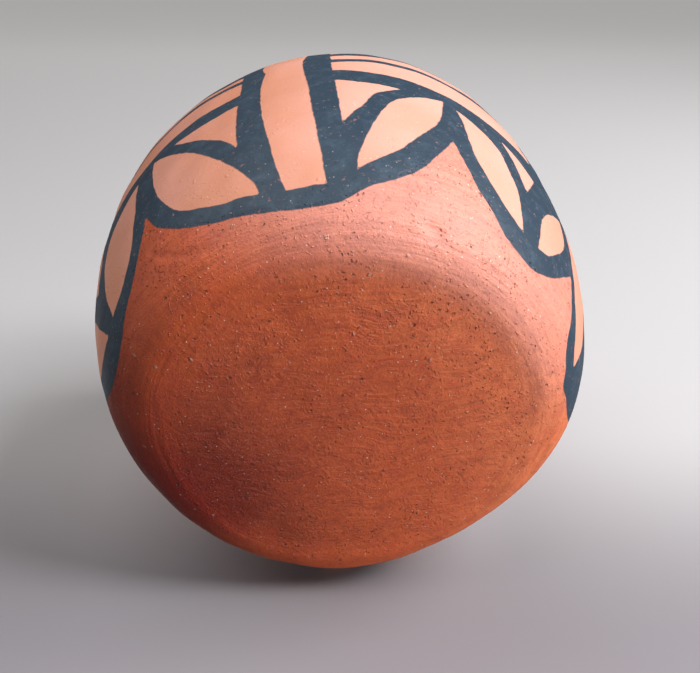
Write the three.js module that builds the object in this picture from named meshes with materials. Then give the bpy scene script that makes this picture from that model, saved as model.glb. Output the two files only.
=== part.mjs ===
// A small round jar of red earthenware, built by hand: a dish of clay pressed in a shallow mould, and seven
// coils of clay laid on it, each one lapping down inside the one below, up to a short rim.
// Millimetres, +Z up. The origin is the centre of the flat foot, and +Z runs out through the mouth.

import * as THREE from 'three';
import { mergeVertices } from 'three/addons/utils/BufferGeometryUtils.js';

// Outer outline, from the axis and from the table that the foot stands on
const footRadius = 25.2;
const bellyRadius = 40;
const bellyHeight = 43;
const heelFullness = 2.13; // 2 is an ellipse, and more is squarer
const closingRadius = 20; // where the shoulder would lie flat if it went on past the neck
const closingHeight = 70;
const shoulderFullness = 2.08;
const neckRootRadius = 29; // where the shoulder turns up into the neck
const neckRadius = 22.3;
const rimRadius = 24;
const rimTop = 77;

// Thickness of the clay
const floorThickness = 6;
const floorRadius = 22.5; // of the flat inside
const wallThickness = 4.6;
const rimThickness = 3.6;

const lipHeight = rimTop - rimThickness / 2; // where the lip's half round starts

// The dish's edge and each coil's lap, measured along the outer wall
const dishRise = 17;
const lapLength = 7.5;

// The hand-built wall strays from a true circle by a few broad swells
const swells = [
  { height: 0.45, lobes: 2, azimuth: 157 },
  { height: 0.35, lobes: 3, azimuth: 104 },
  { height: 0.5, lobes: 4, azimuth: 16 },
];

// The coils, from the dish up. They share the wall's length above the dish evenly.
const coilNames = [
  'heel_coil',
  'lower_wall_coil',
  'belly_coil',
  'upper_belly_coil',
  'shoulder_coil',
  'neck_coil',
  'rim_coil',
];

// Fineness of the faceted surface
const facetsAround = 60;
const heelSteps = 6;
const outerSteps = 3;
const innerSteps = 2;
const lapSteps = 3;
const neckSteps = 6;
const lipSteps = 6;

const bareClay = { color: 0xac5c42, roughness: 0.85, metalness: 0 };
const slippedClay = { color: 0xe18c69, roughness: 0.6, metalness: 0 };

// Part of a superellipse about a centre, from one angle to another, 0 pointing out and 90 degrees up
class Bulge extends THREE.Curve {
  constructor(centre, reach, rise, fullness, fromAngle, toAngle) {
    super();
    Object.assign(this, { centre, reach, rise, fullness, fromAngle, toAngle });
  }

  getPoint(t) {
    const angle = THREE.MathUtils.lerp(this.fromAngle, this.toAngle, t);
    const power = 2 / this.fullness;
    const out = Math.pow(Math.abs(Math.cos(angle)), power);
    const up = Math.sign(angle) * Math.pow(Math.abs(Math.sin(angle)), power);
    return new THREE.Vector2(this.centre.x + this.reach * out, this.centre.y + this.rise * up);
  }
}

// One face of the wall, from the edge of the foot or floor up to the rim's lip
function wallFace(face) {
  const quarter = Math.PI / 2;
  const heel = new Bulge(
    new THREE.Vector2(face.footRadius, bellyHeight),
    face.bellyRadius - face.footRadius,
    bellyHeight - face.footHeight,
    heelFullness,
    -quarter,
    0,
  );
  const closing = (neckRootRadius - closingRadius) / (bellyRadius - closingRadius);
  const shoulder = new Bulge(
    new THREE.Vector2(closingRadius, bellyHeight),
    face.bellyRadius - closingRadius,
    face.closingHeight - bellyHeight,
    shoulderFullness,
    0,
    Math.acos(Math.pow(closing, shoulderFullness / 2)),
  );
  const root = shoulder.getPoint(1);
  const slope = shoulder.getTangent(1);
  const turn = root.clone().addScaledVector(slope, (face.neckRadius - root.x) / slope.x);
  const lip = new THREE.Vector2(face.rimRadius, lipHeight);
  const neck = new THREE.Vector2(face.neckRadius, (turn.y + lip.y) / 2);
  const path = new THREE.CurvePath();
  path.add(heel);
  path.add(shoulder);
  path.add(new THREE.CubicBezierCurve(root, turn, neck, lip));
  return path;
}

const outerFace = wallFace({
  footRadius,
  footHeight: 0,
  bellyRadius,
  closingHeight,
  neckRadius,
  rimRadius,
});

const innerFace = wallFace({
  footRadius: floorRadius,
  footHeight: floorThickness,
  bellyRadius: bellyRadius - wallThickness,
  closingHeight: closingHeight - wallThickness,
  neckRadius: neckRadius - rimThickness,
  rimRadius: rimRadius - rimThickness,
});

const wallLength = outerFace.getLength();
const coilRise = (wallLength - dishRise) / coilNames.length;

const outside = 0;
const inside = 1;

// A point in the wall, a given way along it, at a depth that runs from outside to inside
function wallPoint(along, depth) {
  const share = along / wallLength;
  return outerFace.getPoint(share).lerp(innerFace.getPoint(share), depth);
}

// The points between two places on one face of the wall, without the two places themselves
function between(from, to, steps, depth) {
  const points = [];
  for (let i = 1; i < steps; i += 1) {
    points.push(wallPoint(THREE.MathUtils.lerp(from, to, i / steps), depth));
  }
  return points;
}

// The S-shaped face between two pieces, from the outside in. The coil above laps down inside the piece below,
// and both pieces take these same points, so they meet face to face.
function lapFace(along) {
  const points = [];
  for (let i = 0; i <= lapSteps; i += 1) {
    const depth = i / lapSteps;
    const drop = (lapLength * (1 - Math.cos(Math.PI * depth))) / 2;
    points.push(wallPoint(along - drop, depth));
  }
  return points;
}

// The half-round lip, from the outside over the top to the inside
function lipFace() {
  const points = [];
  for (let i = 0; i <= lipSteps; i += 1) {
    const angle = (Math.PI * i) / lipSteps;
    const centre = rimRadius - rimThickness / 2;
    const out = (Math.cos(angle) * rimThickness) / 2;
    const up = (Math.sin(angle) * rimThickness) / 2;
    points.push(new THREE.Vector2(centre + out, lipHeight + up));
  }
  return points;
}

// The swells scale each upright half plane about the axis, so faces that meet still meet
function strayFromRound(geometry) {
  const position = geometry.getAttribute('position');
  for (let i = 0; i < position.count; i += 1) {
    const azimuth = Math.atan2(position.getY(i), position.getX(i));
    let scale = 1;
    for (const swell of swells) {
      const turn = azimuth - THREE.MathUtils.degToRad(swell.azimuth);
      scale += (swell.height / bellyRadius) * Math.cos(swell.lobes * turn);
    }
    position.setXY(i, position.getX(i) * scale, position.getY(i) * scale);
  }
}

// Turns a profile of radius and height about the upright axis into one closed piece of clay
function thrown(name, profile, finish) {
  const lathe = new THREE.LatheGeometry(profile, facetsAround);
  lathe.rotateX(Math.PI / 2);
  strayFromRound(lathe);
  lathe.deleteAttribute('normal');
  lathe.deleteAttribute('uv');
  const geometry = mergeVertices(lathe);
  geometry.computeVertexNormals();
  const mesh = new THREE.Mesh(geometry, new THREE.MeshStandardMaterial(finish));
  mesh.name = name;
  return mesh;
}

// The pressed dish: a flat foot, the rounded heel, and a bevelled edge that takes the first coil
function baseDish() {
  const edge = lapFace(dishRise);
  return thrown(
    'base_dish',
    [
      new THREE.Vector2(0, 0),
      wallPoint(0, outside),
      ...between(0, dishRise, heelSteps, outside),
      ...edge,
      ...between(dishRise - lapLength, 0, heelSteps, inside),
      wallPoint(0, inside),
      new THREE.Vector2(0, floorThickness),
    ],
    bareClay,
  );
}

// A coil of the wall, lapped on the piece below and bevelled for the coil above
function wallCoil(name, foot, head) {
  const below = lapFace(foot);
  const above = lapFace(head);
  return thrown(
    name,
    [
      ...below.slice(0, 1),
      ...between(foot, head, outerSteps, outside),
      ...above,
      ...between(head - lapLength, foot - lapLength, innerSteps, inside),
      ...below.slice().reverse(),
    ],
    slippedClay,
  );
}

// The last coil, drawn up into the neck and rounded over at the lip
function rimCoil(name, foot) {
  const below = lapFace(foot);
  return thrown(
    name,
    [
      ...below.slice(0, 1),
      ...between(foot, wallLength, neckSteps, outside),
      ...lipFace(),
      ...between(wallLength, foot - lapLength, neckSteps, inside),
      ...below.slice().reverse(),
    ],
    slippedClay,
  );
}

const pot = new THREE.Group();
pot.name = 'pueblo_pot';
pot.add(baseDish());
coilNames.forEach((name, i) => {
  const foot = dishRise + i * coilRise;
  const last = i === coilNames.length - 1;
  pot.add(last ? rimCoil(name, foot) : wallCoil(name, foot, foot + coilRise));
});

export default pot;
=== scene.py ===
# %% [markdown]
# # A small painted pueblo jar
#
# The real object is a round jar of red earthenware, about 80 mm across. It was built by hand from a pressed dish
# and seven coils of clay, scraped smooth, rubbed with a thin, pale orange slip above the heel, and painted with
# black shapes before the fire. Here each of those eight pieces of clay is made again as a fine, smooth mesh that
# stands for one solid of the measured model, and the bare clay, the slip and the paint are materials on them.
# The measured model is the fixed frame: nothing in this file moves it or changes its size.

# %% Load the measured model
import math

import bpy
import numpy as np
from mathutils import Matrix, Vector


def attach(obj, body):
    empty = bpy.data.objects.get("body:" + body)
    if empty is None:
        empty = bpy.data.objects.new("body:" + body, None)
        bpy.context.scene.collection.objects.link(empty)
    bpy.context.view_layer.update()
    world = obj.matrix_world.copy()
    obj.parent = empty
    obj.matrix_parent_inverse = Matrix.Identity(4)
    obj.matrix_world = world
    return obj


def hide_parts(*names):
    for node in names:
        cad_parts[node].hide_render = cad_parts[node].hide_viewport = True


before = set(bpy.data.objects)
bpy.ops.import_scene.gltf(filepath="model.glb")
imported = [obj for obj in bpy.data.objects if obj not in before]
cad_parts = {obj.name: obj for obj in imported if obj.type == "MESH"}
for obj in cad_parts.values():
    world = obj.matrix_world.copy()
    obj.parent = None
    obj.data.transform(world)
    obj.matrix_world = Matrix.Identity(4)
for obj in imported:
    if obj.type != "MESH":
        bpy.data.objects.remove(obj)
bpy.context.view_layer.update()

MM = 0.001
print("Pieces of the measured model:", sorted(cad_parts))

# %% [markdown]
# ## The outline of the jar
#
# A coiled jar is a solid of revolution at heart, so one curve in the upright plane says nearly everything: a flat
# foot, a full heel, the belly, a closing shoulder and a short flared neck. The heel and the shoulder could be drawn
# with many points, but a superellipse needs only a reach, a rise and a fullness, and stays smooth at any fineness.
# These are the same sizes that the measured model was built from.

# %% Sizes of the outline, in millimetres
foot_radius = 25.2
belly_radius = 40.0
belly_height = 43.0
heel_fullness = 2.13  # 2 is an ellipse, and more is squarer
closing_radius = 20.0  # where the shoulder would lie flat if it went on past the neck
closing_height = 70.0
shoulder_fullness = 2.08
neck_root_radius = 29.0  # where the shoulder turns up into the neck
neck_radius = 22.3
rim_radius = 24.0
rim_top = 77.0
floor_thickness = 6.0
floor_radius = 22.5  # of the flat inside
wall_thickness = 4.6
rim_thickness = 3.6
dish_rise = 17.0  # along the wall, from the edge of the foot to the edge of the dish
lap_length = 7.5  # how far each coil laps down inside the piece below
lip_height = rim_top - rim_thickness / 2
coil_names = [
    "heel_coil", "lower_wall_coil", "belly_coil", "upper_belly_coil", "shoulder_coil", "neck_coil", "rim_coil",
]


# %% The curves that the outline is drawn with
bulge_points = 500
neck_points = 300


def superellipse(centre, reach, rise, fullness, start, end):
    angle = np.linspace(start, end, bulge_points)
    out = np.abs(np.cos(angle)) ** (2 / fullness)
    up = np.sign(angle) * np.abs(np.sin(angle)) ** (2 / fullness)
    return np.column_stack([centre[0] + reach * out, centre[1] + rise * up])


def bezier(a, b, c, d):
    t = np.linspace(0, 1, neck_points)[:, None]
    return a * (1 - t) ** 3 + 3 * b * t * (1 - t) ** 2 + 3 * c * t**2 * (1 - t) + d * t**3


def lengths_along(points):
    return np.concatenate([[0], np.cumsum(np.hypot(*np.diff(points, axis=0).T))])


# %% One face of the wall, from the edge of the foot or floor up to the lip
def wall_face(foot, foot_height, belly, closing, neck, rim):
    reach, rise = belly - foot, belly_height - foot_height
    heel = superellipse((foot, belly_height), reach, rise, heel_fullness, -math.pi / 2, 0)
    closed = (neck_root_radius - closing_radius) / (belly_radius - closing_radius)
    last = math.acos(closed ** (shoulder_fullness / 2))
    centre = (closing_radius, belly_height)
    reach, rise = belly - closing_radius, closing - belly_height
    shoulder = superellipse(centre, reach, rise, shoulder_fullness, 0, last)
    root, slope = shoulder[-1], shoulder[-1] - shoulder[-2]
    turn = root + slope * (neck - root[0]) / slope[0]
    lip = np.array([rim, lip_height])
    throat = np.array([neck, (turn[1] + lip[1]) / 2])
    return np.vstack([heel, shoulder[1:], bezier(root, turn, throat, lip)[1:]])


outer = wall_face(foot_radius, 0, belly_radius, closing_height, neck_radius, rim_radius)
inner = wall_face(
    floor_radius,
    floor_thickness,
    belly_radius - wall_thickness,
    closing_height - wall_thickness,
    neck_radius - rim_thickness,
    rim_radius - rim_thickness,
)
outer_way, inner_way = lengths_along(outer), lengths_along(inner)
wall_length = outer_way[-1]
coil_rise = (wall_length - dish_rise) / len(coil_names)
print(f"The outer wall is {wall_length:.2f} mm long, and each coil rises {coil_rise:.2f} mm along it")


# %% [markdown]
# ## A place in the wall
#
# Every point of the clay is named by two numbers: how far along the outer wall it is, and how deep in the wall,
# from 0 at the outside to 1 at the inside. Under the foot the way along counts down to the axis. Two pieces that
# meet take the same numbers along their shared face, so they meet exactly, however fine the mesh is.

# %% From a place in the wall to radius and height
def wall_points(along, depth):
    way = np.clip(along, 0, None) / wall_length
    outside = np.column_stack([np.interp(way * outer_way[-1], outer_way, outer[:, k]) for k in (0, 1)])
    inside = np.column_stack([np.interp(way * inner_way[-1], inner_way, inner[:, k]) for k in (0, 1)])
    under = along < 0
    outside[under, 0] = foot_radius + along[under]
    inside[under, 0] = floor_radius * (1 + along[under] / foot_radius)
    return outside * (1 - depth[:, None]) + inside * depth[:, None]


def outward(along):
    # The direction that the outside of the wall faces
    step = 0.05
    before, after = (wall_points(along + s, np.zeros(len(along))) for s in (-step, step))
    slope = after - before
    slope /= np.linalg.norm(slope, axis=1)[:, None]
    return np.column_stack([slope[:, 1], -slope[:, 0]])


# %% [markdown]
# ## Hand-made unevenness
#
# A true circle looks machined. The measured model already strays from it by three broad swells, and the same
# swells are used here. On top come softer ripples, up to a few tenths of a millimetre high, where the scraper and
# the fingers passed. Noise from a texture would do, but a seeded sum of waves in space gives the same result each
# run and has no seam, because it is read at the place of each point.

# %% Swells and ripples
swells = [(0.45, 2, 157), (0.35, 3, 104), (0.5, 4, 16)]  # height in mm, lobes, azimuth in degrees


def swelling(azimuth):
    return 1 + sum(h / belly_radius * np.cos(lobes * (azimuth - math.radians(at))) for h, lobes, at in swells)


waves_in_sum = 18
shortest_wave, longest_wave = 0.7, 1.5  # as shares of the wavelength that is asked for


def ripples(points, wavelength, seed):
    rng = np.random.default_rng(seed)
    heading = rng.normal(size=(waves_in_sum, 3))
    heading /= np.linalg.norm(heading, axis=1)[:, None]
    turns = 2 * math.pi / (wavelength * rng.uniform(shortest_wave, longest_wave, waves_in_sum))
    start = rng.uniform(0, 2 * math.pi, waves_in_sum)
    total = np.zeros(len(points))
    for k in range(waves_in_sum):
        total += np.sin(points @ heading[k] * turns[k] + start[k])
    return total / math.sqrt(waves_in_sum / 2)


# %% [markdown]
# ## A ring of clay as a mesh
#
# Each piece is a closed profile taken once round the axis. Blender's Screw modifier could turn it, but the wall's
# unevenness and the painted pattern both need each point's place in the wall, so the grid of points is built
# here and the place is kept beside it. Steps of about half a millimetre are finer than the brush strokes.

# %% Marks of a fingertip, a nail and a dragged stone
# Each is a line of places (azimuth in degrees, way along the outer wall in mm), its width and its depth in mm
pressed_marks = [
    ([(228.2, 14.5), (231, 12.4), (234.5, 10.8), (238, 9.6), (241.8, 9)], 0.42, 0.18),
    ([(294, 6.9), (296, 6.2)], 1.0, 0.22),
    ([(28, 11), (33, 10.2), (37, 10.4)], 0.6, 0.18),
    ([(118, 8), (121, 9.5)], 0.9, 0.2),
    ([(171, 58), (176, 57.4), (180, 57.8)], 1.4, 0.15),
    ([(66, 66), (70, 65)], 1.6, 0.15),
]


def pressed_in(along, azimuth, radius):
    total = np.zeros(radius.shape)
    for line, width, deep in pressed_marks:
        step = np.linspace(0, len(line) - 1, 4 * len(line))
        at, level = (np.interp(step, range(len(line)), [place[k] for place in line]) for k in (0, 1))
        nearest = np.full(radius.shape, np.inf)
        for a, s in zip(at, level):
            aside = ((azimuth - a + 180) % 360 - 180) * math.pi / 180 * radius
            nearest = np.minimum(nearest, np.hypot(aside, along - s))
        total += deep * np.exp(-((nearest / width) ** 2))
    return total


# %% Fineness of the meshes, and the S-shaped lap between two pieces
columns = 600  # points around the axis
fine_step = 0.45  # mm, on the faces that show
coarse_step = 1.1
lap_step = 0.12  # as a share of the wall's depth
crease_angle = math.radians(40)  # an edge sharper than this is not smoothed over


def run(start, end, step):
    return np.linspace(start, end, max(3, int(abs(end - start) / step) + 1))


def lap(along):
    depth = run(0, 1, lap_step)
    return along - lap_length * (1 - np.cos(math.pi * depth)) / 2, depth


print(f"Steps of {2 * math.pi * belly_radius / columns:.2f} mm round the belly and {fine_step} mm along the wall")


# %% Turn a profile of places in the wall into points in space
scraped_height, scraped_wave, scraped_seed = 0.1, 24, 3  # mm high, mm long
dented_height, dented_wave, dented_seed = 0.035, 7, 5
finger_height, finger_wave, finger_seed = 0.3, 15, 8  # on the inside
still_middle = 6.0  # the ripples fade out this close to the middle of the foot
worn_foot, worn_width = 0.6, 6.5  # how far, and how wide, the edge of the foot is rubbed away


def clay_points(along, depth, lip_lift=None):
    azimuth = np.linspace(0, 2 * math.pi, columns, endpoint=False)
    flat = wall_points(along, depth)
    out = outward(along)
    if lip_lift is not None:
        flat = flat + lip_lift
    skin = wall_points(along, np.zeros(len(along)))
    round_x, round_y = np.cos(azimuth), np.sin(azimuth)
    around = [np.outer(skin[:, 0], round_x), np.outer(skin[:, 0], round_y), np.outer(skin[:, 1], np.ones(columns))]
    at = np.stack(around, -1).reshape(-1, 3)
    outside = scraped_height * ripples(at, scraped_wave, scraped_seed)
    outside = outside + dented_height * ripples(at, dented_wave, dented_seed)
    coil_ridge = np.cos(2 * math.pi * (along - dish_rise + lap_length) / coil_rise)
    inside = finger_height * (0.5 * np.repeat(coil_ridge, columns) + 0.5 * ripples(at, finger_wave, finger_seed))
    depth_all, along_all, radius_all = (np.repeat(value, columns) for value in (depth, along, skin[:, 0]))
    outside -= pressed_in(along_all, np.tile(np.degrees(azimuth), len(along)), radius_all)
    shift = (outside * (1 - depth_all) + inside * depth_all).reshape(len(along), columns)
    calm = np.clip((foot_radius + along) / still_middle, 0, 1)[:, None]
    radius = flat[:, :1] + out[:, :1] * shift * calm
    height = flat[:, 1:] + out[:, 1:] * shift * calm
    scale = swelling(azimuth)[None]
    rubbed = worn_foot * np.exp(-((along / worn_width) ** 2))
    height = np.where((depth == 0)[:, None], np.maximum(height, 0) + rubbed[:, None], height)
    return np.stack([radius * scale * round_x, radius * scale * round_y, height], -1), azimuth


# %% Make the mesh of one ring, closed round its profile
def ring_faces(rows, closed):
    i = np.arange(rows if closed else rows - 1)[:, None] * columns
    j = np.arange(columns)[None]
    above, beside = (i + columns) % (rows * columns), (j + 1) % columns
    return np.stack([i + j, i + beside, above + beside, above + j], -1).reshape(-1, 4)


def new_piece(name, points, faces):
    mesh = bpy.data.meshes.new(name)
    mesh.from_pydata((points * MM).tolist(), [], faces)
    mesh.polygons.foreach_set("use_smooth", [True] * len(mesh.polygons))
    mesh.set_sharp_from_angle(angle=crease_angle)
    piece = bpy.data.objects.new(name, mesh)
    bpy.context.scene.collection.objects.link(piece)
    return piece


# %% [markdown]
# ## The eight pieces of clay
#
# The dish was pressed in a shallow mould, so it has the flat foot, the rounded heel and a bevelled edge. Each
# coil was laid inside the edge below and drawn up, so its lower face laps down on the inside. The last coil ends in
# a half-round lip. The pieces could be joined to one mesh now, but the measured model keeps them apart, so each
# one here stands for its own solid.

# %% Profiles of the pieces, as places in the wall
lip_points = 13


def dish_profile():
    edge_along, edge_depth = lap(dish_rise)
    under = run(-foot_radius, 0, fine_step)[1:-1]
    heel = run(0, dish_rise, fine_step)[:-1]
    inside = run(dish_rise - lap_length, 0, coarse_step)[1:]
    floor = run(0, -foot_radius, coarse_step)[1:-1]
    along = np.concatenate([under, heel, edge_along, inside, floor])
    depth = np.concatenate([0 * under, 0 * heel, edge_depth, 1 + 0 * inside, 1 + 0 * floor])
    return along, depth


def coil_profile(foot, head):
    below_along, below_depth = lap(foot)
    above_along, above_depth = lap(head)
    outside = run(foot, head, fine_step)[1:-1]
    inside = run(head - lap_length, foot - lap_length, coarse_step)[1:-1]
    along = np.concatenate([outside, above_along, inside, below_along[::-1]])
    depth = np.concatenate([0 * outside, above_depth, 1 + 0 * inside, below_depth[::-1]])
    return along, depth


def rim_profile(foot):
    below_along, below_depth = lap(foot)
    outside = run(foot, wall_length, fine_step)[1:]
    inside = run(wall_length, foot - lap_length, fine_step)[:-1]
    turn = np.linspace(0, math.pi, lip_points)[1:-1]
    along = np.concatenate([outside, wall_length + 0 * turn, inside, below_along[::-1]])
    depth = np.concatenate([0 * outside, (1 - np.cos(turn)) / 2, 1 + 0 * inside, below_depth[::-1]])
    lift = np.zeros((len(along), 2))
    lift[len(outside) : len(outside) + len(turn), 1] = np.sin(turn) * rim_thickness / 2
    return along, depth, lift


# %% Build the dish, and keep each point's place in the wall
clay = {}
places = {}


def keep_places(name, along, depth, azimuth):
    places[name] = (np.repeat(along, columns), np.repeat(depth, columns), np.tile(np.degrees(azimuth), len(along)))


along, depth = dish_profile()
points, azimuth = clay_points(along, depth)
faces = ring_faces(len(along), closed=False).tolist()
points = points.reshape(-1, 3)

# The middle of the foot and of the floor are one point each, joined to the nearest ring by a fan of triangles
foot_middle, last_ring = len(points), (len(along) - 1) * columns
floor_middle_point = foot_middle + 1
j = np.arange(columns)
faces += np.column_stack([np.full(columns, foot_middle), (j + 1) % columns, j]).tolist()
faces += np.column_stack([np.full(columns, floor_middle_point), last_ring + j, last_ring + (j + 1) % columns]).tolist()
points = np.vstack([points, [0, 0, 0], [0, 0, floor_thickness]])
clay["base_dish"] = new_piece("base_dish_clay", points, faces)
keep_places("base_dish", along, depth, azimuth)
middles = [(-foot_radius, -foot_radius), (0, 1), (0, 0)]  # way along, depth and azimuth of the two middle points
places["base_dish"] = tuple(np.append(kept, ends) for kept, ends in zip(places["base_dish"], middles))

# %% Build the coils
for number, node in enumerate(coil_names):
    foot = dish_rise + number * coil_rise
    lift = None
    if node == coil_names[-1]:
        along, depth, lift = rim_profile(foot)
    else:
        along, depth = coil_profile(foot, foot + coil_rise)
    points, azimuth = clay_points(along, depth, lift)
    clay[node] = new_piece(node + "_clay", points.reshape(-1, 3), ring_faces(len(along), closed=True).tolist())
    keep_places(node, along, depth, azimuth)

for node, piece in clay.items():
    print(f"{piece.name}: {len(piece.data.vertices)} points, {len(piece.data.polygons)} faces")

# %% [markdown]
# ## The painted pattern
#
# A thick black line runs low round the belly, and a thinner one along the widest place. Below them hang leaf
# shapes, in pairs on each side of an upright bar, inside a scalloped border. Above, the same shapes are turned over.
# The painter leaves the leaves, the corners and the panels in the colour of the slip and blackens the rest, so the
# pattern is easiest to write the same way: the shapes that stay unpainted, and the border.
#
# The pattern could be an image wrapped round the jar, but an image blurs up close. Instead each point of the mesh
# gets its distance to the nearest painted edge in millimetres, which stays sharp between points, and the material
# paints wherever that distance is above zero.
#
# Places are written as (azimuth in degrees, way along the outer wall in millimetres).

# %% Brushed lines and closed shapes through a few places
steps_per_span = 7


def brushed(places_on_line):
    # A smooth curve that passes through every place it is given
    p = np.array(places_on_line, float)
    p = np.vstack([2 * p[0] - p[1], p, 2 * p[-1] - p[-2]])
    t = np.linspace(0, 1, steps_per_span, endpoint=False)[:, None]
    line = []
    for a, b, c, d in zip(p, p[1:], p[2:], p[3:]):
        line.append(b + 0.5 * t * (c - a + t * (2 * a - 5 * b + 4 * c - d + t * (3 * (b - c) + d - a))))
    return np.vstack([*line, p[-2:-1]])


def shape(*lines):
    # An outline of several lines, where a line of two places stays straight
    return np.vstack([brushed(line)[:-1] if len(line) > 2 else np.array(line[:1], float) for line in lines])


# %% The lines round the belly, and the rule that turns a shape over to the upper half
thin_line, thin_line_width = 48.8, 2.2
thick_line_top = [
    (0, 39.5), (20, 39.5), (40, 41), (60, 40), (84, 42.6), (96, 43), (108, 42.6), (130, 40), (152, 41), (175, 39.8),
    (194, 40.2), (205, 40), (215, 39.3), (225, 39), (232, 40.5), (242, 42.2), (253, 42.6), (265, 43.2), (275, 43.2),
    (285, 42), (295, 41), (304, 40), (311, 38.9), (325, 38.5), (340, 39),
]
strip_reach = 8.0  # the strips between the lines end this far from the thin line
upper_strip_share = 0.55  # they are this much narrower above it
upper_share = 0.75  # and the leaves this much shorter


def turned_over(outline):
    below = thin_line - outline[:, 1]
    near = below * upper_strip_share
    far = strip_reach * upper_strip_share + (below - strip_reach) * upper_share
    return np.column_stack([outline[:, 0], thin_line + np.where(below < strip_reach, near, far)])


# %% Unpainted shapes of the unit with a panel between two bars
leaf_left = shape(
    [(230, 37.4), (235, 35), (241.5, 30.5), (245, 27.2), (249.5, 22.9), (253.3, 18.8), (256, 15.4), (256.6, 13.4)],
    [
        (256.6, 13.4), (252.5, 14.2), (248.3, 14.6), (242, 16.2), (237.5, 18.2), (234, 22), (231.9, 26), (230.5, 31.5),
        (230, 37.4),
    ],
)
corner_left = shape(
    [(236, 37.7), (253, 38.4)],
    [(253, 38.4), (252.8, 31), (253, 24.6)],
    [(253, 24.6), (250, 28.2), (245, 32.1), (240, 35.2), (236, 37.7)],
)
corner_right = shape(
    [(274.8, 38.6), (280, 37.7), (285, 37.1), (289, 36.8)],
    [(289, 36.8), (283, 33.4), (280.5, 29.9), (278, 27.2), (275.5, 24.3)],
    [(275.5, 24.3), (275.2, 31), (274.8, 38.6)],
)
leaf_right = shape(
    [
        (277.8, 14.3), (278.2, 17), (280, 20.7), (282.5, 25.5), (284.3, 28.5), (287.2, 32.1), (291.8, 34.9),
        (298.8, 37.4),
    ],
    [(298.8, 37.4), (297, 30.6), (294.8, 26.4), (291, 22.4), (287, 18.7), (282.5, 16.4), (279, 15), (277.8, 14.3)],
)
left_edge = brushed([(262.5, 12.6), (261, 17), (259.9, 24), (259, 30), (258.5, 37), (258.5, 43), (259.5, 50)])
right_edge = brushed([(271.2, 12.3), (270.4, 20), (269.6, 29), (269.1, 37), (268.3, 45), (267.9, 52.5)])
left_edge, right_edge = (edge[edge[:, 1] < thin_line] for edge in (left_edge, right_edge))
panel = np.vstack([left_edge, turned_over(left_edge)[::-1], turned_over(right_edge), right_edge[::-1]])

# %% Unpainted shapes beside the single bars that show
leaf_beside_panel = shape(
    [(301.5, 36), (305, 34.4), (309.5, 32.4), (312, 29.8), (314, 26.3), (316, 22), (317, 17.8), (318, 14.1)],
    [(318, 14.1), (313, 15.6), (309.5, 17.6), (306.5, 20.2), (304, 23.6), (303, 27.7), (302.5, 32.3), (301.5, 36)],
)
corner_beside_panel = shape(
    [(313.5, 34.6), (319, 33.2), (324, 31.3)],
    [(324, 31.3), (321.5, 27.5), (319.5, 24.4)],
    [(319.5, 24.4), (318, 28), (315.5, 31.5), (313.5, 34.6)],
)
round_leaf = shape(
    [(323.2, 13.9), (323.8, 17.1), (324.8, 21.4), (327.5, 25), (331.8, 28.6), (336.2, 31.3)],
    [(336.2, 31.3), (336.2, 27), (334.8, 22.7), (333.2, 20.1), (329, 16.1), (326.5, 14.5), (323.2, 13.9)],
)
leaf_west = shape(
    [(225, 35.2), (221, 34.8), (216, 33), (212, 29.5), (210, 25), (209.7, 19), (210.5, 13.1)],
    [(210.5, 13.1), (217, 14.9), (222.5, 19), (224.8, 26.7), (225, 35.2)],
)
corner_west = shape(
    [(199, 35.8), (207.5, 35)],
    [(207.5, 35), (206.4, 29), (204.6, 23.5)],
    [(204.6, 23.5), (201, 27), (199, 35.8)],
)
leaf_far_west = shape(
    [(206, 12.5), (202, 17.5), (198.2, 22.7), (193, 28.5), (186, 33), (178, 35.5)],
    [(178, 35.5), (181, 26), (186, 18.5), (191.2, 15.3), (197.8, 13.4), (206, 12.5)],
)
leaf_east = shape(
    [(340, 23), (341.5, 17), (345, 12.3), (349, 9.8), (353.2, 8.3)],
    [(353.2, 8.3), (353, 14), (351, 21), (347, 28), (341.5, 35)],
    [(341.5, 35), (340.3, 29), (340, 23)],
)

# %% [markdown]
# ## The pattern on the unseen side
#
# The side that the photo doesn't show has more units of the same kind. A leaf and a corner are written once, in
# shares of the way from a cusp of the border to the bar, and set down wherever they are needed. The unit with the
# panel is turned round the jar and used a second time.

# %% Units on the unseen side
leaf_upper = [(0.05, 37), (0.25, 34.6), (0.45, 31), (0.62, 26.5), (0.78, 20.5), (0.88, 14.3)]
leaf_lower = [(0.88, 14.3), (0.68, 16.4), (0.5, 18.7), (0.33, 22.4), (0.17, 26.8), (0.1, 31), (0.05, 37)]
corner_lines = [
    [(0.45, 36.4), (0.75, 36.8), (1, 36.8)],
    [(1, 36.8), (0.99, 30), (0.98, 24.5)],
    [(0.98, 24.5), (0.87, 28), (0.73, 32), (0.6, 34.6), (0.45, 36.4)],
]


def half_unit(cusp, bar_edge, lines):
    return shape(*([(cusp + (bar_edge - cusp) * u, s) for u, s in line] for line in lines))


def turned_round(outline, degrees):
    return outline + [degrees, 0]


leaf_lines = [leaf_upper, leaf_lower]
around_panel = [leaf_left, corner_left, corner_right, leaf_right]
half_turn = -169  # degrees, a little less than half the way round, as a painter judges it by eye
hanging = around_panel + [turned_round(outline, half_turn) for outline in around_panel]
hanging += [leaf_beside_panel, corner_beside_panel, round_leaf, leaf_west, corner_west, leaf_far_west, leaf_east]
hanging += [half_unit(378, 361, lines) for lines in (leaf_lines, corner_lines)]
hanging += [half_unit(338.5, 355, corner_lines)]
for cusp, bar_edge in [(18, 37), (59.5, 43), (129.8, 149), (175, 155)]:  # in degrees
    hanging += [half_unit(cusp, bar_edge, lines) for lines in (leaf_lines, corner_lines)]
unpainted = [panel, turned_round(panel, half_turn)] + hanging + [turned_over(outline) for outline in hanging]

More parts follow.
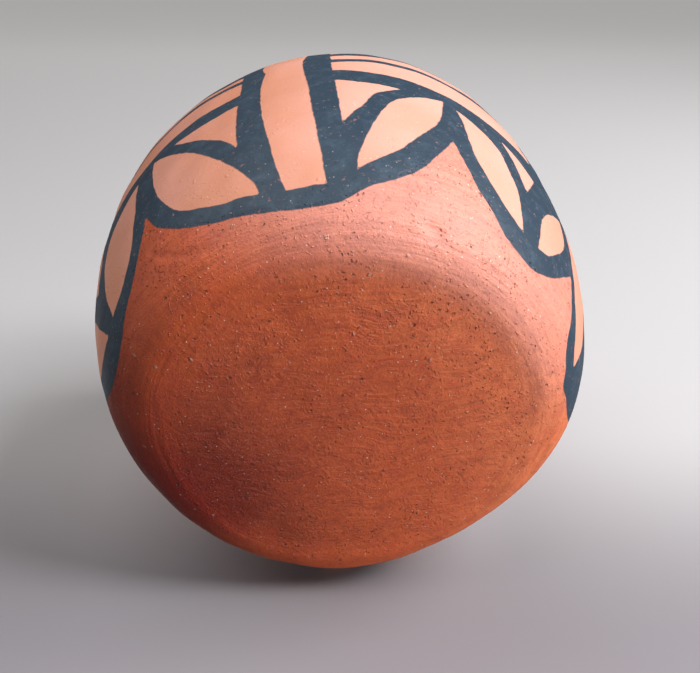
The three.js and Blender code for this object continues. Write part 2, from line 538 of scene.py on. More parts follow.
# %% The strips between the two lines, cut by the bars
bars = [(37, 43), (84.4, 105.6), (149, 155), (206.6, 210.4), (253.4, 274.6), (325, 331.5), (355, 361)]
line_azimuth, line_level = np.array(thick_line_top, float).T
strip_steps = 40
stray_height, stray_azimuth, stray_width = 1.5, 241, 13  # mm and degrees: where the thin line strays upward


def line_rise(azimuth):
    return stray_height * np.exp(-(((azimuth % 360 - stray_azimuth) / stray_width) ** 2))


for (_, start), (end, _) in zip(bars, bars[1:] + [(bars[0][0] + 360, 0)]):
    around = np.linspace(start, end, strip_steps)
    low = np.column_stack([around, np.interp(around % 360, line_azimuth, line_level, period=360)])
    high = np.column_stack([around[::-1], np.full(strip_steps, thin_line - thin_line_width / 2)])
    rise = np.append(np.zeros(strip_steps), line_rise(around[::-1]))
    rise = np.column_stack([np.zeros(2 * strip_steps), rise])
    strip = np.vstack([low, high])
    unpainted += [strip + rise, turned_over(strip) + rise]
print(len(unpainted), "shapes stay unpainted")

# %% The scalloped border, from cusp to cusp
scallops_seen = [
    [
        (175, 22), (179, 16.5), (188, 12), (194, 9.3), (202, 8.3), (209.5, 8.8), (215, 10.6), (220, 12.8), (224, 15.9),
        (227, 19.5), (228.2, 22.8),
    ],
    [
        (228.2, 22.8), (229.6, 20.4), (231.4, 18), (234, 16.2), (237.5, 14.5), (243, 12.7), (250, 11.4), (262, 9.5),
        (273, 9.2), (279.5, 11.2), (288, 13.7), (292, 16.2), (296, 20.5), (298.8, 24.3),
    ],
    [
        (298.8, 24.3), (301.5, 19.6), (305, 15.6), (311, 11.8), (314, 10.6), (321.5, 9.6), (327, 10.6), (332, 13.2),
        (338.5, 18.4),
    ],
    [(338.5, 18.4), (341, 12.5), (345, 7.9), (352, 5.8), (356, 5.1), (360, 5.8), (368, 7.5), (374, 12), (378, 21)],
]
scallop = [(0, 21.5), (0.06, 17.5), (0.2, 12.5), (0.5, 9.2), (0.8, 12.5), (0.94, 17.5), (1, 21.5)]
unseen_cusps = [378, 419.5, 489.8, 535]
scallops_unseen = [
    [(start + (end - start) * u, s) for u, s in scallop] for start, end in zip(unseen_cusps, unseen_cusps[1:])
]
border = np.vstack([brushed(line)[:-1] for line in scallops_seen + scallops_unseen])
upper_border = turned_over(border)


# %% Distances to the painted edges
def gap_to(azimuth, along, radius, outline, closed):
    # How far each point is from an outline, in mm, and whether it lies within
    ends = np.roll(outline, -1, axis=0)
    if not closed:
        ends[-1, 0] += 360
    per_degree = math.pi / 180 * radius[:, None]
    ax = ((outline[None, :, 0] - azimuth[:, None] + 180) % 360 - 180) * per_degree
    bx = ax + (ends[:, 0] - outline[:, 0])[None] * per_degree
    ay, by = outline[None, :, 1] - along[:, None], ends[None, :, 1] - along[:, None]
    dx, dy = bx - ax, by - ay
    t = np.clip(-(ax * dx + ay * dy) / (dx * dx + dy * dy + 1e-12), 0, 1)
    gap = np.hypot(ax + t * dx, ay + t * dy).min(axis=1)
    crossed = ((ay > 0) != (by > 0)) & (ax + dx * -ay / np.where(dy == 0, 1e-12, dy) > 0)
    return gap, crossed.sum(axis=1) % 2 == 1


chunk_size = 6000  # points measured at once, to spare memory


def chunks(count):
    return [slice(k, k + chunk_size) for k in range(0, count, chunk_size)]


def distance_to_border(azimuth, along, radius, line):
    gap = np.zeros(len(azimuth))
    for c in chunks(len(azimuth)):
        gap[c] = gap_to(azimuth[c], along[c], radius[c], line, False)[0]
    order = np.argsort(line[:, 0] % 360)
    level = np.interp(azimuth % 360, (line[:, 0] % 360)[order], line[order, 1], period=360)
    return np.where(along > level, gap, -gap)


# %% The paint and the slip at every point, as distances in mm from their edges
far_off = 6.0  # distances are not followed further than this
border_within = (0, 30)  # mm along the wall
upper_border_within = (60, 85)
margin = 12  # degrees on each side of a shape
rim_band = 2.6
slip_start = 0.7  # the slip begins this far inside the painted border
neck_line, neck_line_width = wall_length - 10.5, 1.8


def paint_distances(along, depth, azimuth):
    radius = wall_points(along, np.zeros(len(along)))[:, 0]
    slip = np.full(len(along), -far_off)
    slip[along > border_within[1]] = far_off
    low = (along > border_within[0]) & (along <= border_within[1])
    slip[low] = distance_to_border(azimuth[low], along[low], radius[low], border)
    closed_above = np.full(len(along), far_off)
    closed_above[along > upper_border_within[1]] = -far_off
    high = (along > upper_border_within[0]) & (along <= upper_border_within[1])
    closed_above[high] = -distance_to_border(azimuth[high], along[high], radius[high], upper_border)
    left_bare = np.full(len(along), -far_off)
    for outline in unpainted:
        middle = (outline[:, 0].min() + outline[:, 0].max()) / 2
        reach = (outline[:, 0].max() - outline[:, 0].min()) / 2 + margin
        near = np.abs((azimuth - middle + 180) % 360 - 180) < reach
        near &= (along > outline[:, 1].min() - far_off) & (along < outline[:, 1].max() + far_off)
        beside = np.flatnonzero(near)
        for part in chunks(len(beside)):
            some = beside[part]
            gap, within = gap_to(azimuth[some], along[some], radius[some], outline, True)
            left_bare[some] = np.maximum(left_bare[some], np.where(within, gap, -gap))
    paint = np.minimum(np.minimum(slip, closed_above), -left_bare)
    paint = np.maximum(paint, neck_line_width / 2 - np.abs(along - neck_line))
    paint = np.maximum(paint, along - (wall_length - rim_band))
    slip = slip - slip_start
    inside = depth > 0.5
    lip = inside & (along > wall_length - rim_band / 2)
    slip[inside & ~lip] = -far_off
    paint[inside & ~lip] = -far_off
    return paint, slip


# %% Keep both distances on the meshes
for node, piece in clay.items():
    paint, slip = paint_distances(*places[node])
    for name, values in (("paint", paint), ("slip", slip)):
        layer = piece.data.attributes.new(name, "FLOAT", "POINT")
        layer.data.foreach_set("value", np.clip(values, -far_off, far_off).astype(np.float32))
    print(f"{piece.name}: {100 * (paint > 0).mean():.0f} % of its points are painted")

# %% [markdown]
# ## Effects that the finishes share
#
# Fired clay is never one colour or one texture. It has a fine grain, sand and coarser grit that stand up from it,
# pits where grit was dragged out, darkened with painted shade, long marks of the wiping hand, whose grooves are
# darkened with painted shade too, and bright specks of mica, whose paleness is partly a painted glint. Each effect is
# a node group, built once with named inputs and outputs, so the bare clay and the slipped clay can use it at their own
# strengths. The groups read the place on the jar in millimetres, so the sizes in them are real sizes. All of it is
# too small to be worth meshing, so it reaches the surface as bump and as colour.

# %% A small helper for writing node trees
class Wiring:
    def __init__(self, tree):
        self.tree = tree

    def node(self, kind, **settings):
        made = self.tree.nodes.new(kind)
        for name, value in settings.items():
            setattr(made, name, value)
        return made

    def feed(self, socket, value):
        if isinstance(value, bpy.types.NodeSocket):
            self.tree.links.new(value, socket)
        else:
            socket.default_value = value

    def maths(self, operation, *values):
        made = self.node("ShaderNodeMath", operation=operation)
        for socket, value in zip(made.inputs, values):
            self.feed(socket, value)
        return made.outputs[0]

    def vector(self, operation, *values):
        made = self.node("ShaderNodeVectorMath", operation=operation)
        for socket, value in zip(made.inputs, values):
            self.feed(socket, value)
        return made

    def scaled(self, vector, factor):
        made = self.node("ShaderNodeVectorMath", operation="SCALE")
        self.feed(made.inputs["Vector"], vector)
        self.feed(made.inputs["Scale"], factor)
        return made.outputs["Vector"]

    def stretched(self, vector, degrees, sizes):
        made = self.node("ShaderNodeMapping", vector_type="TEXTURE")
        self.feed(made.inputs["Vector"], vector)
        made.inputs["Rotation"].default_value = (0, 0, math.radians(degrees))
        made.inputs["Scale"].default_value = sizes
        return made.outputs["Vector"]

    def texture(self, kind, vector, size, **settings):
        made = self.node("ShaderNodeTex" + kind, **settings)
        self.feed(made.inputs["Vector"], vector)
        self.feed(made.inputs["Scale"], 1 / size)
        return made

    def noise(self, vector, size, detail, roughness, w=None):
        made = self.texture("Noise", vector, size, noise_dimensions="3D" if w is None else "4D")
        self.feed(made.inputs["Detail"], detail)
        self.feed(made.inputs["Roughness"], roughness)
        if w is not None:
            self.feed(made.inputs["W"], w)
        return made.outputs["Fac"]

    def shaken(self, vector, size, reach):
        shift = self.texture("Noise", vector, size).outputs["Color"]
        return self.vector("ADD", vector, self.scaled(shift, reach)).outputs["Vector"]

    def cells(self, vector, size):
        # The distance from each cell's middle, and three random numbers that are the same all over a cell
        made = self.texture("Voronoi", vector, size)
        draw = self.node("ShaderNodeSeparateColor")
        self.feed(draw.inputs[0], made.outputs["Color"])
        return made.outputs["Distance"], draw.outputs

    def ramp(self, value, low, high, to_low=0.0, to_high=1.0):
        made = self.node("ShaderNodeMapRange", interpolation_type="SMOOTHSTEP")
        for name, number in (("Value", value), ("From Min", low), ("From Max", high)):
            self.feed(made.inputs[name], number)
        self.feed(made.inputs["To Min"], to_low)
        self.feed(made.inputs["To Max"], to_high)
        return made.outputs["Result"]

    def blend(self, share, first, second):
        made = self.node("ShaderNodeMix", data_type="RGBA")
        # A Mix node has a set of sockets for each kind of value, and the colours' are numbers 6, 7 and 2
        for number, value in ((0, share), (6, first), (7, second)):
            self.feed(made.inputs[number], value)
        return made.outputs[2]


def new_group(name, inputs, outputs):
    tree = bpy.data.node_groups.new(name, "ShaderNodeTree")
    for label, kind, value in inputs:
        socket = tree.interface.new_socket(label, in_out="INPUT", socket_type="NodeSocket" + kind)
        if value is not None:
            socket.default_value = value
    for label, kind in outputs:
        tree.interface.new_socket(label, in_out="OUTPUT", socket_type="NodeSocket" + kind)
    wiring = Wiring(tree)
    return tree, wiring, wiring.node("NodeGroupInput").outputs, wiring.node("NodeGroupOutput").inputs


# %% Fine and coarse grain, which is stronger in patches
clay_grain, w, given, out = new_group(
    "clay_grain",
    [("Place", "Vector", None), ("Grain", "Float", 0.4), ("Pits", "Float", 0.5)],
    [("Height", "Float"), ("Tone", "Float"), ("Grit", "Float")],
)
fine = w.noise(w.scaled(given["Place"], w.maths("DIVIDE", 1.0, given["Grain"])), 1.0, 5.0, 0.75)
coarse_slant, coarse_sizes = 52, (1.1, 0.6, 0.7)  # degrees and mm
coarse = w.noise(w.stretched(given["Place"], coarse_slant, coarse_sizes), 1.0, 3.0, 0.6)
patches = w.noise(given["Place"], 7.0, 3.0, 0.6)
rough_patch = w.ramp(patches, 0.35, 0.65, 0.3, 1.4)

# %% Sand, grit and pits, scattered with uneven edges
uneven_place = w.shaken(given["Place"], 0.6, 0.8)


def scattered(size, share, inner, outer):
    # Dots in a share of the cells, full within the inner radius and gone at the outer one, in mm
    distance, draw = w.cells(uneven_place, size)
    chosen = w.maths("LESS_THAN", draw[0], share)
    return w.maths("MULTIPLY", w.ramp(distance, inner / size, outer / size, 1.0, 0.0), chosen)


pitted = w.maths("MULTIPLY", given["Pits"], w.ramp(patches, 0.45, 0.6))
hole = scattered(0.9, pitted, inner=0.07, outer=0.22)
grit = scattered(2.4, 0.18, inner=0.12, outer=0.36)
sand = w.maths("MULTIPLY", scattered(0.6, 0.7, inner=0.05, outer=0.2), rough_patch)

# %% How far each of them rises or sinks, and how much painted shade darkens the pits
fine_rise, coarse_rise, grit_rise, sand_rise, hole_depth = 0.7, 0.55, 1.2, 0.85, 1.4
fine_tone, coarse_tone, hole_tone = 0.5, 0.5, 0.6

coarse_height = w.maths("MULTIPLY", w.maths("MULTIPLY", coarse, rough_patch), coarse_rise)
height = w.maths("ADD", w.maths("MULTIPLY", fine, fine_rise), coarse_height)
height = w.maths("ADD", height, w.maths("MULTIPLY", grit, grit_rise))
height = w.maths("ADD", height, w.maths("MULTIPLY", sand, sand_rise))
w.feed(out["Height"], w.maths("SUBTRACT", height, w.maths("MULTIPLY", hole, hole_depth)))
# The grain's tone differs at random and is darkened in the pits as painted shade
tone = w.maths("MULTIPLY_ADD", fine, fine_tone, w.maths("MULTIPLY", coarse, coarse_tone))
w.feed(out["Tone"], w.maths("SUBTRACT", tone, w.maths("MULTIPLY", hole, hole_tone)))
w.feed(out["Grit"], grit)

# %% Marks of the wiping hand, straight over the foot and round the jar above it
wiping_marks, w, given, out = new_group(
    "wiping_marks",
    [("Place", "Vector", None), ("Spacing", "Float", 1.2)],
    [("Height", "Float")],
)
spread = w.node("ShaderNodeSeparateXYZ")
w.feed(spread.inputs[0], given["Place"])
around = w.node("ShaderNodeCombineXYZ")
w.feed(around.inputs[0], spread.outputs[0])
w.feed(around.inputs[1], spread.outputs[1])
radius = w.vector("LENGTH", around.outputs[0]).outputs["Value"]
heading = w.vector("NORMALIZE", around.outputs[0]).outputs["Vector"]
turned = w.node("ShaderNodeSeparateXYZ")
w.feed(turned.inputs[0], w.scaled(heading, 2.2))
upright = w.node("ShaderNodeCombineXYZ")
w.feed(upright.inputs[0], turned.outputs[0])
w.feed(upright.inputs[1], turned.outputs[1])
w.feed(upright.inputs[2], w.maths("DIVIDE", spread.outputs[2], given["Spacing"]))
round_streak = w.noise(upright.outputs[0], 1.0, 2.0, 0.6, w=w.maths("DIVIDE", radius, given["Spacing"]))
bent = w.shaken(given["Place"], 18.0, 9.0)
streak_slant, streak_sizes = -3, (10, 0.8, 0.8)  # degrees and mm, long along the stroke
straight_streak = w.noise(w.stretched(bent, streak_slant, streak_sizes), 1.0, 3.0, 0.6)
off_foot = w.ramp(radius, 21.0, 28.0)
turn_to_round = w.maths("MULTIPLY", off_foot, w.maths("SUBTRACT", round_streak, straight_streak))
w.feed(out["Height"], w.maths("ADD", straight_streak, turn_to_round))

# %% The edge of a brush stroke or of the slip, a little unsteady
brush_edge, w, given, out = new_group(
    "brush_edge",
    [("Place", "Vector", None), ("Distance", "Float", 0.0), ("Wobble", "Float", 0.3), ("Softness", "Float", 0.1)],
    [("Mask", "Float")],
)
shake = w.maths("SUBTRACT", w.noise(given["Place"], 1.6, 3.0, 0.6), 0.5)
edge = w.maths("MULTIPLY_ADD", shake, given["Wobble"], given["Distance"])
soft = given["Softness"]
w.feed(out["Mask"], w.ramp(edge, w.maths("MULTIPLY", soft, -1.0), soft))

# %% Specks of mica
mica_specks, w, given, out = new_group(
    "mica_specks",
    [("Place", "Vector", None), ("Share", "Float", 0.1)],
    [("Mask", "Float")],
)
mica_spacing, mica_full, mica_gone = 0.8, 0.06, 0.15  # mm, and two radii as shares of it
distance, draw = w.cells(given["Place"], mica_spacing)
chosen = w.maths("LESS_THAN", draw[1], given["Share"])
w.feed(out["Mask"], w.maths("MULTIPLY", chosen, w.ramp(distance, mica_full, mica_gone, 1.0, 0.0)))
print("Effects:", [group.name for group in bpy.data.node_groups])

# %% [markdown]
# ## The two finishes
#
# The dish is bare clay and the coils are slipped clay, but the border of the pattern crosses from one to the other,
# so both finishes read the same two distances: inside the border the surface is slip, and where it is painted it is
# black. Bare clay is rough and gritty. The fire left it orange on one side and a deep smoked red on the other; the red
# side is the one away from the light, so its darkness is partly painted shade, and the orange side's brightness is
# partly painted light. A pale wash was wiped over the side of the heel toward the light, and its paleness is partly a
# painted sheen. The slip was rubbed while damp, so it is lighter and smoother with a faint sheen, and it is palest on
# the side toward the light, as a painted sheen. The paint lies on it as a thin, matte, black film, whose blue tint is
# partly a painted reflection of the sky.
#
# One flat colour for each would do from across a room. Up close the eye reads the mixing, so each finish starts
# from a clay colour and lays the others over it one by one, in the order in which they came to the real jar.

# %% Colours, as linear light
def colour(red, green, blue):
    shares = [c / 255 for c in (red, green, blue)]
    linear = [c / 12.92 if c <= 0.04045 else ((c + 0.055) / 1.055) ** 2.4 for c in shares]
    return (*linear, 1.0)


clay_red = colour(218, 100, 54)
clay_orange = colour(236, 127, 78)
clay_hollow_shade = colour(80, 22, 11)  # painted shade in the pits and in the grooves of the wiping marks
# the smoked red is partly painted shade on the side away from the light
clay_smoked_and_shaded = colour(124, 10, 1)
clay_blush = colour(186, 70, 52)
# the wash's pale pink is partly a real wash and partly a painted sheen on the side toward the light
wash_and_sheen_pink = colour(243, 171, 158)
grit_pale = colour(214, 176, 156)
slip_light = colour(242, 167, 143)
slip_deep = colour(231, 152, 119)
# the slip painted paler on the side toward the light: a painted sheen
slip_sheen = colour(252, 200, 184)
# the black paint's blue tint and lightness are partly a painted reflection of the sky
paint_black_with_sheen = colour(44, 62, 78)
paint_thin_with_sheen = colour(64, 84, 100)
# the pale of the mica specks is partly the mica's own colour and partly a painted glint
mica_pale_glint = colour(246, 238, 228)

# %% Places and sizes that the finishes follow, in millimetres
smoke_and_shade_place = (-32.0, 10.0, 8.0)  # the smoke reached the clay here, on the side away from the light, so its darkening is partly painted shade, and fades with distance
smoke_and_shade_reach, smoke_and_shade_raggedness = 40.0, 16.0
wiped_and_lit_toward = (0.57, -0.82, 0.0)  # the direction of the side that was wiped with the wash and that faces the light: the wash there is partly a painted sheen, and the paler slip is a painted sheen
cloud_size, blotch_size, paint_patch_size, worn_spot_size = 16.0, 2.4, 2.2, 0.7
grain_size = 0.36
streak_spacing = 1.1
relief_depth = 0.21

# %% Strengths of the finishes
pitting, mica_share = 0.35, 0.3
wash_and_sheen_strength, grit_strength, mica_strength = 0.58, 0.6, 0.8
slip_roughness, paint_roughness, mica_gloss = 0.42, 0.5, 0.25
specular_level = 0.45
relief_middle = 1.4  # the relief is set about its middle, so no step shows where it grows calmer
marks_height, paint_height = 1.5, 0.15  # against the grain's

# %% Where one look turns into another
# Each is the range of the value that drives it, and then the strengths at its two ends, if they aren't 0 and 1
fired_red_and_shaded = (-16.0, 8.0)  # driven by the nearness to the smoked side: orange toward the light and red away from it, partly painted light and shade
# the smoked red, partly painted shade
smoked_and_shaded = (8.0, 44.0)
relief_in_smoke = (-6.0, 32.0, 0.9, 1.7)
off_foot = (22.5, 29.0)  # by the distance from the axis, in mm
relief_off_foot = (20.0, 28.0, 1.35, 0.75)
wash_and_sheen_side = (11.0, 29.0)  # by the distance toward the wiped side, which faces the light, in mm
# where the slip is painted paler toward the light, as a painted sheen
slip_sheen_side = (24.0, 40.0, 0.0, 0.4)
slip_clouds = (0.35, 0.7)  # by noise, whose middle is 0.5
blushing = (0.38, 0.6, 0.35, 0.0)
# the painted shade in the grooves of the wiping marks and in the pits
streak_groove_shade = (0.3, 0.6, 0.16, 0.0)
tone_and_hollow_shade = (0.28, 0.5, 0.5, 0.0)
paint_thins = (0.45, 0.8)
paint_wears = (0.6, 0.75, 0.0, 0.25)
relief_under_slip = (0.0, 1.0, 1.0, 0.3)  # by the share that is covered
mica_under_paint = (0.0, 1.0, 1.0, 0.5)


# %% Helpers that place an effect and read a stored distance
def effects_of(w, place):
    def effect(group, **inputs):
        made = w.node("ShaderNodeGroup", node_tree=group)
        w.feed(made.inputs["Place"], place)
        for label, value in inputs.items():
            w.feed(made.inputs[label], value)
        return made.outputs

    return effect


def stored(w, label):
    return w.node("ShaderNodeAttribute", attribute_name=label).outputs["Fac"]


# %% Put a finish together
def clay_finish(name, grit, bare_roughness):
    material = bpy.data.materials.new(name)
    material.use_nodes = True
    tree = material.node_tree
    w = Wiring(tree)
    surface = tree.nodes["Principled BSDF"]
    surface.inputs["Specular IOR Level"].default_value = specular_level
    place = w.scaled(w.node("ShaderNodeTexCoord").outputs["Object"], 1 / MM)
    effect = effects_of(w, place)

    # Where the slip, the paint, the grain, the wiping marks and the mica are
    slipped = effect(brush_edge, Distance=stored(w, "slip"), Wobble=0.3, Softness=0.3)["Mask"]
    painted = effect(brush_edge, Distance=stored(w, "paint"), Wobble=0.45, Softness=0.12)["Mask"]
    grains = effect(clay_grain, Grain=grain_size, Pits=pitting)
    marks = effect(wiping_marks, Spacing=streak_spacing)["Height"]
    glitter = effect(mica_specks, Share=mica_share)["Mask"]
    glitter = w.maths("MULTIPLY", glitter, w.ramp(painted, *mica_under_paint))

    # Where the fire smoked the clay, partly painted shade on the side away from the light, and where a hand wiped and
    # rubbed it, partly a painted sheen on the side toward the light
    cloud = w.noise(place, cloud_size, 3.0, 0.55)
    across = w.vector("MULTIPLY", place, (1.0, 1.0, 0.0)).outputs["Vector"]
    from_axis = w.vector("LENGTH", across).outputs["Value"]
    from_smoke_and_shade = w.vector("DISTANCE", place, smoke_and_shade_place).outputs["Value"]
    smoke_and_shade = w.maths("MULTIPLY_ADD", cloud, smoke_and_shade_raggedness, w.maths("SUBTRACT", smoke_and_shade_reach, from_smoke_and_shade))
    sideways = w.vector("DOT_PRODUCT", place, wiped_and_lit_toward).outputs["Value"]
    washed_and_sheen = w.maths("MULTIPLY", w.ramp(from_axis, *off_foot), w.ramp(sideways, *wash_and_sheen_side))
    washed_and_sheen = w.maths("MULTIPLY", washed_and_sheen, wash_and_sheen_strength)
    blotches = w.noise(place, blotch_size, 4.0, 0.7)

    # The bare clay: fired orange to red, blotched, washed, smoked, darkened in its hollows and grooves as painted
    # shade, with pale grit; the orange and the wash toward the light are partly painted light and sheen, and the
    # smoked red away from it is partly painted shade
    bare = w.blend(w.ramp(smoke_and_shade, *fired_red_and_shaded), clay_orange, clay_red)
    bare = w.blend(w.ramp(blotches, *blushing), bare, clay_blush)
    bare = w.blend(washed_and_sheen, bare, wash_and_sheen_pink)
    bare = w.blend(w.ramp(smoke_and_shade, *smoked_and_shaded), bare, clay_smoked_and_shaded)
    bare = w.blend(w.ramp(marks, *streak_groove_shade), bare, clay_hollow_shade)
    bare = w.blend(w.ramp(grains["Tone"], *tone_and_hollow_shade), bare, clay_hollow_shade)
    bare = w.blend(w.maths("MULTIPLY", grains["Grit"], grit_strength), bare, grit_pale)

    # The slip, palest on the side toward the light as a painted sheen, and the paint, worn through in fine spots
    slip = w.blend(w.ramp(cloud, *slip_clouds), slip_deep, slip_light)
    slip = w.blend(w.ramp(sideways, *slip_sheen_side), slip, slip_sheen)
    paint_patches = w.noise(place, paint_patch_size, 4.0, 0.65)
    black = w.blend(w.ramp(paint_patches, *paint_thins), paint_black_with_sheen, paint_thin_with_sheen)
    worn = w.ramp(w.noise(place, worn_spot_size, 3.0, 0.6), *paint_wears)
    covered = w.maths("MULTIPLY", painted, w.maths("SUBTRACT", 1.0, worn))
    coated = w.blend(covered, w.blend(slipped, bare, slip), black)
    # pale mica specks, partly a painted glint
    coated = w.blend(w.maths("MULTIPLY", glitter, mica_strength), coated, mica_pale_glint)
    w.feed(surface.inputs["Base Color"], coated)

    rough = w.ramp(slipped, 0.0, 1.0, bare_roughness, slip_roughness)
    rough = w.ramp(painted, 0.0, 1.0, rough, paint_roughness)
    rough = w.maths("SUBTRACT", rough, w.maths("MULTIPLY", glitter, mica_gloss))
    w.feed(surface.inputs["Roughness"], rough)

    # The relief: calmer under the slip, stronger on the smoked side and on the foot
    calm = w.maths("MULTIPLY", w.ramp(slipped, *relief_under_slip), w.ramp(smoke_and_shade, *relief_in_smoke))
    calm = w.maths("MULTIPLY", calm, w.ramp(from_axis, *relief_off_foot))
    relief = w.maths("ADD", w.maths("MULTIPLY", grains["Height"], grit), w.maths("MULTIPLY", marks, marks_height))
    height = w.maths("MULTIPLY", w.maths("SUBTRACT", relief, relief_middle), calm)
    height = w.maths("ADD", height, w.maths("MULTIPLY", painted, paint_height))
    bump = w.node("ShaderNodeBump")
    bump.inputs["Strength"].default_value = 1.0
    bump.inputs["Distance"].default_value = relief_depth * MM
    w.feed(bump.inputs["Height"], height)
    w.feed(surface.inputs["Normal"], bump.outputs["Normal"])
    print(f"{name}: {len(tree.nodes)} nodes")
    return material


bare_clay = clay_finish("bare_clay_finish", grit=1.0, bare_roughness=0.38)
slipped_clay = clay_finish("slipped_clay_finish", grit=0.9, bare_roughness=0.4)

# %% Give each piece its finish, its body and the solid that it stands for
for node, piece in clay.items():
    is_dish = node == "base_dish"
    piece.data.materials.append(bare_clay if is_dish else slipped_clay)
    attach(piece, "root")
    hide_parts(node)

# %% [markdown]
# ## The camera and the floor
#
# In the photo the jar lies on its side, with its foot turned to the camera. The frame keeps it upright, so here
# the floor and the camera are tilted instead. The floor touches the side that the jar lies on. It has one face
# only: from behind it lets the view through, so the jar can be looked at from every side. A second floor, level
# under the foot, is there for those other views, and only the camera sees it.

# %% The camera
eye = Vector((1.548, -70.48, -82.745)) * MM
right = Vector((0.99427, 0.08929, -0.05884))  # the camera's own axes, from a fit of the outline and the foot
up = Vector((0.10693, -0.83018, 0.54714))
back = right.cross(up)
camera = bpy.data.objects.new("camera", bpy.data.cameras.new("camera"))
bpy.context.scene.collection.objects.link(camera)
camera.matrix_world = Matrix.LocRotScale(eye, Matrix((right, up, back)).transposed(), None)
camera.data.sensor_width = 36
camera.data.lens = 39.854
camera.data.clip_start, camera.data.clip_end = 0.005, 50
bpy.context.scene.camera = camera
print("The camera is", round(eye.length / MM), "mm from the middle of the foot")

# %% The floor that the jar lies on
lean = math.radians(25)  # between the camera's upward axis and the floor's
floor_up = (up * math.cos(lean) + back * math.sin(lean)).normalized()
reach_down = min(
    float((np.array([v.co for v in piece.data.vertices]) @ np.array(floor_up)).min()) for piece in clay.values()
)
print(f"The floor is {-reach_down / MM:.1f} mm from the origin")
floor_half = 8.0  # metres from its middle to its edge


def sheet(name, centre, normal):
    turn = normal.to_track_quat("Z", "Y")
    corners = [Vector((x * floor_half, y * floor_half, 0)) for x, y in ((-1, -1), (1, -1), (1, 1), (-1, 1))]
    mesh = bpy.data.meshes.new(name)
    mesh.from_pydata([tuple(centre + turn @ corner) for corner in corners], [], [(0, 1, 2, 3)])
    made = bpy.data.objects.new(name, mesh)
    bpy.context.scene.collection.objects.link(made)
    return made


# %% The floor's finish, which pales with the distance from the camera: darker in front of the jar as painted shade, and paler far off as painted light where the lamps fall off
floor_bounce = colour(112, 106, 102)  # what the jar sees of it
# darker in front of and under the jar as painted shade; paler far away as painted light where the lamps reach less
floor_front_shade = colour(146, 141, 145)
floor_middle = colour(197, 194, 194)
floor_far_lit = colour(246, 243, 241)
front_ends, middle_starts = 0.01, 0.07  # metres beyond the origin, along the view
middle_ends, far_starts = 0.08, 1.0


def one_sided(name, front, middle, far):
    material = bpy.data.materials.new(name)
    material.use_nodes = True
    w = Wiring(material.node_tree)
    surface = material.node_tree.nodes["Principled BSDF"]
    away = w.vector("DOT_PRODUCT", w.node("ShaderNodeTexCoord").outputs["Object"], -back).outputs["Value"]
    seen = w.blend(w.ramp(away, front_ends, middle_starts), front, middle)
    seen = w.blend(w.ramp(away, middle_ends, far_starts), seen, far)
    straight = w.node("ShaderNodeLightPath").outputs["Is Camera Ray"]
    w.feed(surface.inputs["Base Color"], w.blend(straight, floor_bounce, seen))
    surface.inputs["Roughness"].default_value = 0.95
    surface.inputs["Specular IOR Level"].default_value = 0.1
    clear = w.node("ShaderNodeBsdfTransparent")
    choice = w.node("ShaderNodeMixShader")
    w.feed(choice.inputs[0], w.node("ShaderNodeNewGeometry").outputs["Backfacing"])
    w.feed(choice.inputs[1], surface.outputs[0])
    w.feed(choice.inputs[2], clear.outputs[0])
    w.feed(material.node_tree.nodes["Material Output"].inputs["Surface"], choice.outputs[0])
    return material


# %% Lay both floors
standing_drop = 0.0002  # metres below the foot, so the two faces don't flicker
lying_floor = sheet("lying_floor", floor_up * reach_down, floor_up)
lying_floor.data.materials.append(one_sided("floor_finish", floor_front_shade, floor_middle, floor_far_lit))
standing_floor = sheet("standing_floor", Vector((0, 0, -standing_drop)), Vector((0, 0, 1)))
standing_floor.data.materials.append(one_sided("table_finish", floor_middle, floor_middle, floor_middle))
for seen_by in ("visible_diffuse", "visible_glossy", "visible_transmission", "visible_shadow"):
    setattr(standing_floor, seen_by, False)
lying_floor.visible_shadow = False  # so the lamp behind it still reaches the jar


# %% [markdown]
# ## The light
#
# The photo was taken beside a window: a large soft light from the upper right, with one brighter pane in it that
# draws the sheen on the slip. A wide lamp is soft because each point of the jar sees it from many directions at
# once. Weaker lamps stand for the light that a room gives back. Each lamp is set by its level, the share of a white
# sheet's full brightness that it gives at the jar, so a colour renders about as it is written.

# %% The lamps, placed by directions in the camera's view
daylight = (0.97, 0.98, 1.0)
plain_white = (1, 1, 1)
jar_middle = Vector((0, 0, belly_height * MM))


def in_view(sideways, upward, nearer):
    return (right * sideways + up * upward + back * nearer).normalized()


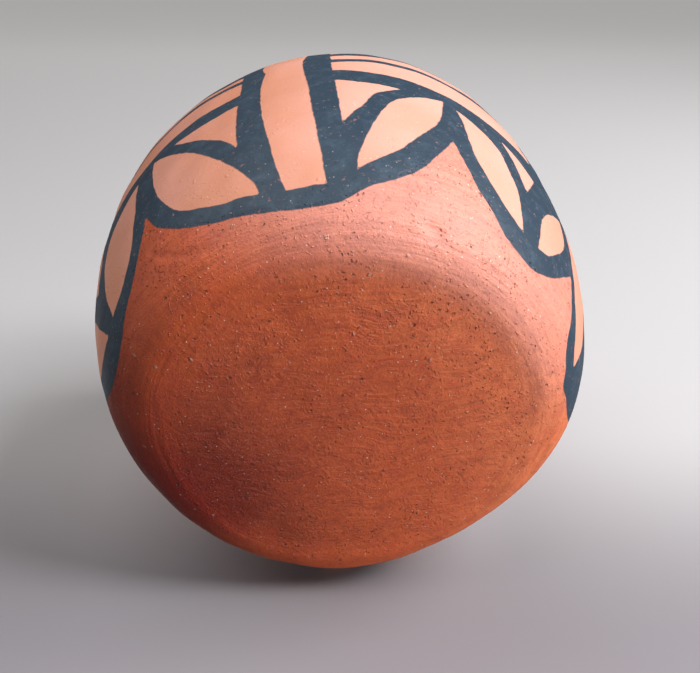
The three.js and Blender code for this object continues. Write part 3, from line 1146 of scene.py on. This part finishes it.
def lamp(name, direction, distance, size, level, tint=plain_white):
    made = bpy.data.objects.new(name, bpy.data.lights.new(name, "AREA"))
    made.data.size = size
    made.data.energy = level * math.pi**2 * distance**2
    made.data.color = tint
    made.location = jar_middle + direction * distance
    made.rotation_euler = direction.to_track_quat("Z", "Y").to_euler()
    bpy.context.scene.collection.objects.link(made)
    print(f"{name}: level {level} at the jar, {distance} m away")


lamp("window", in_view(0.68, 0.58, 0.44), distance=0.7, size=0.4, level=1.08, tint=daylight)
lamp("bright_pane", in_view(0.71, 0.41, 0.58), distance=0.6, size=0.14, level=0.4, tint=daylight)
lamp("fill", in_view(0.6, -0.55, 0.58), distance=0.25, size=0.14, level=0.38)
lamp("left_wall", in_view(-0.9, 0.3, 0.2), distance=0.7, size=0.5, level=0.1)
lamp("behind", in_view(-0.3, -0.1, -0.95), distance=1.2, size=0.9, level=0.8)

# %% The sky, as a very soft sun
sky_level, sky_width = 0.4, math.radians(60)
sky = bpy.data.objects.new("sky", bpy.data.lights.new("sky", "SUN"))
sky.data.energy = sky_level * math.pi
sky.data.angle = sky_width
sky.rotation_euler = in_view(-0.35, 0.85, 0.35).to_track_quat("Z", "Y").to_euler()
bpy.context.scene.collection.objects.link(sky)

# %% The room, which lights the jar faintly and is a pale wall to the camera
room_colour, room_level = (0.78, 0.8, 0.84, 1), 0.08
wall_colour = colour(186, 184, 182)
world = bpy.data.worlds.new("room_light")
bpy.context.scene.world = world
world.use_nodes = True
w = Wiring(world.node_tree)
room = world.node_tree.nodes["Background"]
room.inputs["Color"].default_value = room_colour
room.inputs["Strength"].default_value = room_level
wall = w.node("ShaderNodeBackground")
wall.inputs["Color"].default_value = wall_colour
seen_straight = w.node("ShaderNodeMixShader")
w.feed(seen_straight.inputs[0], w.node("ShaderNodeLightPath").outputs["Is Camera Ray"])
w.feed(seen_straight.inputs[1], room.outputs[0])
w.feed(seen_straight.inputs[2], wall.outputs[0])
w.feed(world.node_tree.nodes["World Output"].inputs["Surface"], seen_straight.outputs[0])
bpy.context.scene.view_settings.view_transform = "Standard"
